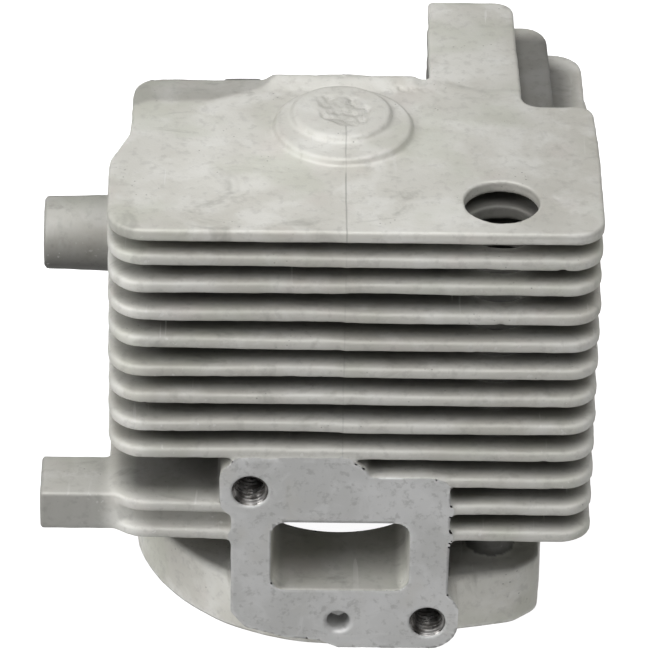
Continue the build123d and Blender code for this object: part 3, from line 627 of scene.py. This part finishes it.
class G:
    """Small helper for wiring shader nodes."""

    def __init__(self, nt):
        self.nt = nt
        self.co = nt.nodes.new("ShaderNodeTexCoord").outputs["Object"]

    def put(self, sock, v):
        if hasattr(v, "is_output"):
            self.nt.links.new(v, sock)
        elif isinstance(v, (tuple, list)) and len(v) == 3 and sock.type == "RGBA":
            sock.default_value = (*v, 1)
        else:
            sock.default_value = v

    def scaled(self, s, rot=(0, 0, 0), co=None):
        n = self.nt.nodes.new("ShaderNodeMapping")
        self.put(n.inputs["Vector"], co or self.co)
        n.inputs["Rotation"].default_value = rot
        n.inputs["Scale"].default_value = s
        return n.outputs[0]

    def noise(self, scale, detail=2.0, rough=0.5, co=None, dist=0.0):
        n = self.nt.nodes.new("ShaderNodeTexNoise")
        self.put(n.inputs["Vector"], co or self.co)
        n.inputs["Scale"].default_value = scale
        n.inputs["Detail"].default_value = detail
        n.inputs["Roughness"].default_value = rough
        n.inputs["Distortion"].default_value = dist
        return n.outputs["Fac"]

    def voronoi(self, scale, co=None, feature="F1"):
        n = self.nt.nodes.new("ShaderNodeTexVoronoi")
        n.feature = feature
        self.put(n.inputs["Vector"], co or self.co)
        n.inputs["Scale"].default_value = scale
        return n.outputs["Distance"]

    def math(self, op, a, b=0.0, c=0.0, clamp=False):
        n = self.nt.nodes.new("ShaderNodeMath")
        n.operation = op
        n.use_clamp = clamp
        for i, v in enumerate((a, b, c)):
            self.put(n.inputs[i], v)
        return n.outputs[0]

    def ramp(self, v, lo, hi, a=0.0, b=1.0):
        n = self.nt.nodes.new("ShaderNodeMapRange")
        n.interpolation_type = "SMOOTHSTEP"
        for i, q in enumerate((v, lo, hi, a, b)):
            self.put(n.inputs[i], q)
        return n.outputs[0]

    def mix(self, f, a, b, mode="MIX"):
        n = self.nt.nodes.new("ShaderNodeMix")
        n.data_type = "RGBA"
        n.blend_type = mode
        self.put(n.inputs[0], f)
        self.put(n.inputs[6], a)
        self.put(n.inputs[7], b)
        return n.outputs[2]

    def attr(self, name):
        n = self.nt.nodes.new("ShaderNodeAttribute")
        n.attribute_name = name
        return n.outputs["Fac"]

    def xyz(self, v=None):
        n = self.nt.nodes.new("ShaderNodeSeparateXYZ")
        self.put(n.inputs[0], v or self.co)
        return n.outputs

    def bump(self, h, strength, dist, prev=None):
        n = self.nt.nodes.new("ShaderNodeBump")
        n.inputs["Strength"].default_value = strength
        n.inputs["Distance"].default_value = dist
        self.put(n.inputs["Height"], h)
        if prev is not None:
            self.put(n.inputs["Normal"], prev)
        return n.outputs[0]


def cast_material():
    m, nt, bsdf = new_mat("cast_aluminium")
    g = G(nt)
    big = g.noise(38, 3, 0.55, dist=0.6)
    mid_ = g.noise(120, 4, 0.6, dist=0.4)
    fine = g.noise(620, 3, 0.6)
    grain = g.noise(2600, 2, 0.6)
    col = g.mix(g.ramp(big, 0.34, 0.66), (0.50, 0.488, 0.445), (0.585, 0.578, 0.54))
    col = g.mix(g.ramp(mid_, 0.46, 0.64, 0.0, 0.60), col, (0.64, 0.635, 0.605))
    green = g.noise(62, 3, 0.5, co=g.scaled((1, 1.3, 1), (0.3, 0.5, 0.2)))
    col = g.mix(g.ramp(green, 0.50, 0.68, 0.0, 0.45), col, (0.445, 0.455, 0.385))
    pink = g.noise(85, 3, 0.5, co=g.scaled((1.2, 1, 1), (1.3, 0.5, 0.9)))
    col = g.mix(g.ramp(pink, 0.56, 0.72, 0.0, 0.30), col, (0.53, 0.485, 0.455))
    stain = g.noise(55, 4, 0.65, co=g.scaled((1.0, 1.8, 1.0), (0.2, 0.1, 0.9)), dist=1.2)
    col = g.mix(g.ramp(stain, 0.57, 0.72, 0.0, 0.50), col, (0.30, 0.295, 0.265))
    col = g.mix(g.ramp(fine, 0.30, 0.50, 0.26, 0.0), col, (0.31, 0.30, 0.28))
    speck = g.voronoi(900)
    speck_on = g.math("MULTIPLY", g.ramp(speck, 0.08, 0.17, 1.0, 0.0), g.ramp(g.noise(150, 2), 0.58, 0.66))
    col = g.mix(g.math("MULTIPLY", speck_on, 0.55), col, (0.17, 0.16, 0.15))
    edge = g.attr("edge_wear_and_highlight")
    cav = g.attr("shade")
    # wear on thin edges, partly a painted highlight: lighter and smoother there
    wear_and_highlight_on = g.math("MULTIPLY", g.ramp(edge, 0.22, 0.70), g.ramp(g.noise(420, 3, 0.65), 0.42, 0.62, 0.0, 1.0))
    col = g.mix(g.math("MULTIPLY", wear_and_highlight_on, 0.32), col, (0.74, 0.735, 0.72))
    # painted light and shade per region, multiplied into the colour
    col = g.mix(1.0, col, g.attr("painted_light_and_tone"), "MULTIPLY")
    # painted shade, darker where the metal is enclosed
    col = g.mix(g.ramp(cav, 0.25, 0.90, 0.0, 0.35), col, (0.27, 0.26, 0.24))
    # scratches and rub marks, long and thin, in a few directions
    rub = None
    for rot, scl, hi in (((0, 0, 0.75), 700, 0.735), ((0, 0, -0.9), 620, 0.745), ((0.4, 0.3, 1.35), 760, 0.74)):
        v = g.ramp(g.noise(scl, 2, 0.5, co=g.scaled((1.0, 0.06, 1.0), rot)), hi - 0.04, hi)
        rub = v if rub is None else g.math("MAXIMUM", rub, v)
    rub = g.math("MULTIPLY", rub, g.ramp(g.noise(45, 2), 0.45, 0.60))
    rub = g.math("MULTIPLY", rub, g.ramp(cav, 0.3, 0.6, 1.0, 0.0))
    col = g.mix(g.math("MULTIPLY", rub, 0.38), col, (0.74, 0.735, 0.72))
    # mould parting line from the crown over the front of the plate and down the fin edges
    c = g.xyz()
    wob = g.math("MULTIPLY", g.math("SUBTRACT", g.noise(90, 2), 0.5), 0.0005)
    off = g.math("ABSOLUTE", g.math("ADD", g.math("SUBTRACT", c[0], PART_X), wob))
    line = g.ramp(off, 0.00004, 0.00020, 1.0, 0.0)
    line = g.math("MULTIPLY", line, g.math("LESS_THAN", c[1], -0.0068))
    line = g.math("MULTIPLY", line, g.math("GREATER_THAN", c[2], 0.0395))
    line = g.math("MULTIPLY", line, g.ramp(g.noise(160, 2), 0.30, 0.55, 0.35, 1.0))
    line = g.math("MULTIPLY", line, g.ramp(c[2], 0.0780, 0.0855, 0.38, 1.0))
    col = g.mix(g.math("MULTIPLY", line, 0.50), col, (0.20, 0.195, 0.18))
    g.put(bsdf.inputs["Base Color"], col)
    bsdf.inputs["Metallic"].default_value = 0.16
    rough = g.ramp(mid_, 0.3, 0.7, 0.52, 0.66)
    rough = g.math("SUBTRACT", rough, g.math("MULTIPLY", wear_and_highlight_on, 0.14))
    g.put(bsdf.inputs["Roughness"], rough)
    n = g.bump(g.noise(260, 4, 0.6), 0.22, 0.00030)
    n = g.bump(fine, 0.26, 0.00014, n)
    n = g.bump(grain, 0.30, 0.00006, n)
    patch = g.math("MULTIPLY", g.math("GREATER_THAN", c[2], 0.0857), g.ramp(g.noise(900, 4, 0.7), 0.40, 0.62))
    patch = g.math("MULTIPLY", patch, g.math("GREATER_THAN", 0.0862, c[2]))
    n = g.bump(patch, 0.35, 0.00022, n)
    n = g.bump(rub, 0.25, -0.00006, n)
    n = g.bump(speck_on, 0.5, -0.00010, n)
    n = g.bump(line, 0.4, -0.00010, n)
    g.put(bsdf.inputs["Normal"], n)
    return m


def milled_material():
    m, nt, bsdf = new_mat("milled_aluminium")
    g = G(nt)
    big = g.noise(65, 3, 0.55, dist=0.5)
    mid_ = g.noise(210, 4, 0.6, dist=0.7)
    fine = g.noise(900, 3, 0.6)
    grain = g.noise(2600, 2, 0.6)
    col = g.mix(g.ramp(big, 0.35, 0.65), (0.55, 0.55, 0.54), (0.64, 0.64, 0.635))
    col = g.mix(g.ramp(mid_, 0.46, 0.66, 0.0, 0.45), col, (0.70, 0.70, 0.695))
    col = g.mix(g.ramp(fine, 0.30, 0.48, 0.35, 0.0), col, (0.27, 0.268, 0.26))
    tan = g.noise(80, 3, 0.5, co=g.scaled((1.1, 1, 0.8), (0.3, 1.5, 0.9)))
    col = g.mix(g.ramp(tan, 0.52, 0.70, 0.0, 0.40), col, (0.57, 0.55, 0.50))
    rub = None
    for rot, scl, hi in (((0, 0.8, 0), 420, 0.70), ((0, -0.6, 0), 360, 0.715), ((0, 0.15, 0), 480, 0.72)):
        v = g.ramp(g.noise(scl, 2, 0.5, co=g.scaled((0.07, 1.0, 1.0), rot)), hi - 0.05, hi)
        rub = v if rub is None else g.math("MAXIMUM", rub, v)
    rub = g.math("MULTIPLY", rub, g.ramp(g.noise(60, 2), 0.40, 0.58))
    col = g.mix(g.math("MULTIPLY", rub, 0.60), col, (0.68, 0.68, 0.67))
    dirt = g.noise(130, 4, 0.65, co=g.scaled((1, 1, 2.2), (0, 0.2, 0)))
    col = g.mix(g.ramp(dirt, 0.62, 0.76, 0.0, 0.30), col, (0.27, 0.265, 0.255))
    # wear on thin edges, partly a painted highlight: lighter there
    wear_and_highlight_on = g.math("MULTIPLY", g.ramp(g.attr("edge_wear_and_highlight"), 0.25, 0.75), g.ramp(g.noise(420, 3, 0.65), 0.38, 0.60, 0.1, 1.0))
    col = g.mix(g.math("MULTIPLY", wear_and_highlight_on, 0.5), col, (0.78, 0.78, 0.77))
    g.put(bsdf.inputs["Base Color"], col)
    bsdf.inputs["Metallic"].default_value = 0.30
    g.put(bsdf.inputs["Roughness"], g.ramp(g.noise(240, 3), 0.3, 0.7, 0.44, 0.58))
    n = g.bump(mid_, 0.16, 0.00018)
    n = g.bump(fine, 0.24, 0.00010, n)
    n = g.bump(grain, 0.25, 0.00005, n)
    n = g.bump(rub, 0.25, -0.00006, n)
    g.put(bsdf.inputs["Normal"], n)
    return m


def bore_material():
    m, nt, bsdf = new_mat("honed_lining")
    g = G(nt)
    a = g.noise(1800, 2, 0.5, co=g.scaled((1.0, 1.0, 0.05), (0.0, 0.0, 0.0)))
    b = g.noise(1500, 2, 0.5, co=g.scaled((0.06, 0.06, 1.0), (0.45, 0.3, 0.0)))
    col = g.mix(g.ramp(g.noise(60, 3), 0.35, 0.65), (0.60, 0.61, 0.62), (0.70, 0.71, 0.72))
    g.put(bsdf.inputs["Base Color"], col)
    bsdf.inputs["Metallic"].default_value = 1.0
    g.put(bsdf.inputs["Roughness"], g.ramp(a, 0.3, 0.7, 0.20, 0.34))
    n = g.bump(a, 0.25, 0.00003)
    n = g.bump(b, 0.25, 0.00003, n)
    g.put(bsdf.inputs["Normal"], n)
    return m


def thread_material():
    m, nt, bsdf = new_mat("cut_thread")
    g = G(nt)
    # the dark base colour is painted shade for the inside of the tapped holes
    col = g.mix(g.ramp(g.noise(700, 3), 0.35, 0.65), (0.17, 0.16, 0.15), (0.38, 0.37, 0.36))
    g.put(bsdf.inputs["Base Color"], col)
    bsdf.inputs["Metallic"].default_value = 1.0
    g.put(bsdf.inputs["Roughness"], g.ramp(g.noise(500, 2), 0.3, 0.7, 0.22, 0.38))
    g.put(bsdf.inputs["Normal"], g.bump(g.noise(2500, 2), 0.25, 0.00004))
    return m


PART_X = 0.0003
cast_mat, mill_mat, bore_mat, thread_mat = cast_material(), milled_material(), bore_material(), thread_material()

# faces that were cast even though a cutter shaped them here: none; the bore wall behind the lining counts as milled
corner_n = np.where(milled[:, None, None], gm[quads], gc[quads])
flip = (corner_n * tri[:, None, :]).sum(2) < 0.55
corner_n = np.where(flip[:, :, None], tri[:, None, :], corner_n)

names = sorted(set(node.tolist()))
made = {}
for name in names:
    pick = np.nonzero(node == name)[0]
    q = quads[pick]
    used, inv = np.unique(q.ravel(), return_inverse=True)
    me = bpy.data.meshes.new("cast_" + name)
    me.vertices.add(len(used))
    me.vertices.foreach_set("co", (pts[used] * 0.001).astype(F32).ravel())
    me.loops.add(q.size)
    me.loops.foreach_set("vertex_index", inv.astype(np.int32).ravel())
    me.polygons.add(len(q))
    me.polygons.foreach_set("loop_start", (np.arange(len(q)) * 4).astype(np.int32))
    me.materials.append(cast_mat)
    me.materials.append(mill_mat)
    me.polygons.foreach_set("material_index", milled[pick].astype(np.int32))
    for label, data in (("edge_wear_and_highlight", edge_wear_and_highlight), ("shade", shade), ("painted_light_and_tone", painted_light_and_tone)):
        me.attributes.new(label, "FLOAT", "POINT").data.foreach_set("value", data[used].astype(F32))
    cn = me.attributes.new("custom_normal", "FLOAT_VECTOR", "CORNER")
    cn.data.foreach_set("vector", corner_n[pick].astype(F32).ravel())
    me.update(calc_edges=True)
    ob = bpy.data.objects.new("cast_" + name, me)
    bpy.context.scene.collection.objects.link(ob)
    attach(ob, "root")
    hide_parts(name)
    made[name] = len(q)
print("pieces", made)
missing = [n for n in frame["nodes"] if n not in made and n != "bore_lining"]
print("nodes with no faces:", missing)


# ------------------------------------------------------------------ cut threads
def thread(name, at, axis, r_in, r_out, pitch, length, seg=56, per=10):
    """Inside thread: a ribbed tube from the mouth at `at`, running into the metal along -axis."""
    ax = np.array(axis, float)
    ax /= np.linalg.norm(ax)
    e1 = np.cross(ax, (1.0, 0.0, 0.0) if abs(ax[0]) < 0.9 else (0.0, 1.0, 0.0))
    e1 /= np.linalg.norm(e1)
    e2 = np.cross(ax, e1)
    rows = int(length / pitch * per) + 1
    t = np.arange(rows) / per * pitch
    th = np.arange(seg) * 2 * math.pi / seg
    T, TH = np.meshgrid(t, th, indexing="ij")
    ph = (T / pitch + TH / (2 * math.pi)) % 1.0
    crest = np.clip(np.abs(ph * 2 - 1) * 1.35 - 0.12, 0, 1)
    rad = r_in + (r_out - r_in) * crest
    rad = np.maximum(rad, r_out - T * 0.9)
    P = np.array(at)[None, None, :] - T[:, :, None] * ax + rad[:, :, None] * (
        np.cos(TH)[:, :, None] * e1 + np.sin(TH)[:, :, None] * e2)
    i, j = np.meshgrid(np.arange(rows - 1), np.arange(seg), indexing="ij")
    jn = (j + 1) % seg
    q = np.stack([i * seg + j, i * seg + jn, (i + 1) * seg + jn, (i + 1) * seg + j], -1).reshape(-1, 4)
    me = bpy.data.meshes.new(name)
    me.from_pydata((P.reshape(-1, 3) * 0.001).tolist(), [], q.tolist())
    me.materials.append(thread_mat)
    for p in me.polygons:
        p.use_smooth = True
    me.update()
    ob = bpy.data.objects.new(name, me)
    bpy.context.scene.collection.objects.link(ob)
    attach(ob, "root")
    return ob


for i, (sx, sz) in enumerate(STUDS):
    thread("thread_intake_%d" % (i + 1), (sx, FRONT_Y + 0.35, sz), (0, -1, 0), 2.46, 3.0, 1.0, 12.2)
for i, sx in enumerate((-18.5, 18.5)):
    thread("thread_exhaust_%d" % (i + 1), (sx, EXH_Y - 0.35, EZ), (0, 1, 0), 2.46, 3.0, 1.0, 7.4)
thread("thread_spark_plug", (0, SEAT[0] - 0.5 * PD[0], SEAT[1] - 0.5 * PD[1]), (0, PD[0], PD[1]), 6.38, 7.02, 1.25, 11.5, 96, 10)
thread("thread_upper_boss", (-50.45, 8.0, 55.0), (-1, 0, 0), 2.08, 2.48, 0.8, 13.2, 48)
thread("thread_lower_boss", (-50.05, -28.1, 26.25), (-1, 0, 0), 2.08, 2.48, 0.8, 9.0, 48)

# the lining keeps its own CAD solid
for ob in bpy.data.objects:
    if ob.type == "MESH" and "bore_lining" in ob.name:
        for slot in ob.material_slots:
            slot.material = bore_mat
        if not ob.material_slots:
            ob.data.materials.append(bore_mat)

# ------------------------------------------------------------------ stage, light and camera
WLOW, WMID, WTOP = 0.58, 0.06, 0.46
KEY, TOPL, FRONTL = 4.6, 6.4, 3.6
me = bpy.data.meshes.new("floor")
me.from_pydata([(-6, -6, 0), (6, -6, 0), (6, 6, 0), (-6, 6, 0)], [], [(0, 1, 2, 3)])
floor = bpy.data.objects.new("floor", me)
bpy.context.scene.collection.objects.link(floor)
fm, nt, fb = new_mat("pale_floor")
g = G(nt)
g.put(fb.inputs["Base Color"], g.mix(g.noise(3, 2), (0.40, 0.40, 0.40), (0.42, 0.42, 0.42)))
fb.inputs["Roughness"].default_value = 0.9
fb.inputs["Specular IOR Level"].default_value = 0.1
fb.inputs["Emission Color"].default_value = (1, 1, 1, 1)
fb.inputs["Emission Strength"].default_value = 0.94
me.materials.append(fm)
floor.visible_diffuse = floor.visible_glossy = False

# pale studio backdrop all round, seen but casting no light
me = bpy.data.meshes.new("backdrop")
ring = [(5.8 * math.cos(a * math.pi / 24), 5.8 * math.sin(a * math.pi / 24)) for a in range(48)]
me.from_pydata([(a, b, -0.01) for a, b in ring] + [(a, b, 5.0) for a, b in ring] + [(0, 0, 6.5)], [],
               [(i, (i + 1) % 48, 48 + (i + 1) % 48, 48 + i) for i in range(48)] + [(48 + i, 48 + (i + 1) % 48, 96) for i in range(48)])
backdrop = bpy.data.objects.new("backdrop", me)
bpy.context.scene.collection.objects.link(backdrop)
dm, nt, db = new_mat("pale_backdrop")
db.inputs["Base Color"].default_value = (0.2, 0.2, 0.2, 1)
db.inputs["Emission Color"].default_value = (1, 1, 1, 1)
db.inputs["Emission Strength"].default_value = 0.95
me.materials.append(dm)
backdrop.visible_diffuse = backdrop.visible_glossy = backdrop.visible_shadow = backdrop.visible_transmission = False

# soft light from above, weaker near the horizon, so that it reaches only the outer part of each gap
world = bpy.data.worlds.new("studio")
bpy.context.scene.world = world
world.use_nodes = True
wt = world.node_tree
bg = wt.nodes["Background"]
bg.inputs[0].default_value = (1.0, 1.0, 1.0, 1)
wc = wt.nodes.new("ShaderNodeTexCoord")
wx = wt.nodes.new("ShaderNodeSeparateXYZ")
wr = wt.nodes.new("ShaderNodeValToRGB")
wt.links.new(wc.outputs["Generated"], wx.inputs[0])
wm = wt.nodes.new("ShaderNodeMapRange")
for i_, v_ in ((1, -1.0), (2, 1.0), (3, 0.0), (4, 1.0)):
    wm.inputs[i_].default_value = v_
wt.links.new(wx.outputs[2], wm.inputs[0])
wt.links.new(wm.outputs[0], wr.inputs[0])
el = wr.color_ramp.elements
el[0].position, el[0].color = 0.0, (WLOW,) * 3 + (1,)
el[1].position, el[1].color = 1.0, (WTOP,) * 3 + (1,)
for pos_, v_ in ((0.47, WLOW), (0.53, WMID * 0.6), (0.72, WMID)):
    e_ = el.new(pos_)
    e_.color = (v_, v_, v_, 1)
wt.links.new(wr.outputs[0], bg.inputs[0])
bg.inputs[1].default_value = 1.0


def area(name, loc, target, size, power, color=(1, 1, 1)):
    L = bpy.data.lights.new(name, "AREA")
    L.shape = "RECTANGLE"
    L.size, L.size_y = size
    L.energy = power
    L.color = color
    ob = bpy.data.objects.new(name, L)
    d = np.array(target, float) - np.array(loc, float)
    d /= np.linalg.norm(d)
    zax = -d
    xax = np.cross((0, 0, 1.0) if abs(zax[2]) < 0.99 else (0, 1.0, 0), zax)
    xax /= np.linalg.norm(xax)
    yax = np.cross(zax, xax)
    ob.matrix_world = Matrix(((xax[0], yax[0], zax[0], loc[0]), (xax[1], yax[1], zax[1], loc[1]),
                              (xax[2], yax[2], zax[2], loc[2]), (0, 0, 0, 1)))
    bpy.context.scene.collection.objects.link(ob)
    return ob


area("key", (-0.85, -0.42, 0.58), (0, 0, 0.04), (0.5, 0.4), KEY)
area("top", (0.0, -0.16, 1.18), (0, 0, 0.05), (0.9, 0.75), TOPL)
area("front", (0.08, -0.62, 1.06), (0, 0, 0.04), (0.8, 0.42), FRONTL)

cam = bpy.data.cameras.new("cam")
cam.sensor_width = 36.0
cam.lens = 36.0 * 5701.4 / 650.0
cam.clip_start, cam.clip_end = 0.05, 20.0
co = bpy.data.objects.new("cam", cam)
RT, UP, VW = (0.99988159, -0.00267334, 0.01515456), (-0.01107123, 0.55901836, 0.82908136), (0.0106881, 0.82915097, -0.55892257)
LOC = (-0.012943, -0.809733, 0.587686)
co.matrix_world = Matrix(((RT[0], UP[0], -VW[0], LOC[0]), (RT[1], UP[1], -VW[1], LOC[1]), (RT[2], UP[2], -VW[2], LOC[2]), (0, 0, 0, 1)))
bpy.context.scene.collection.objects.link(co)
bpy.context.scene.camera = co
bpy.context.scene.view_settings.view_transform = "Standard"
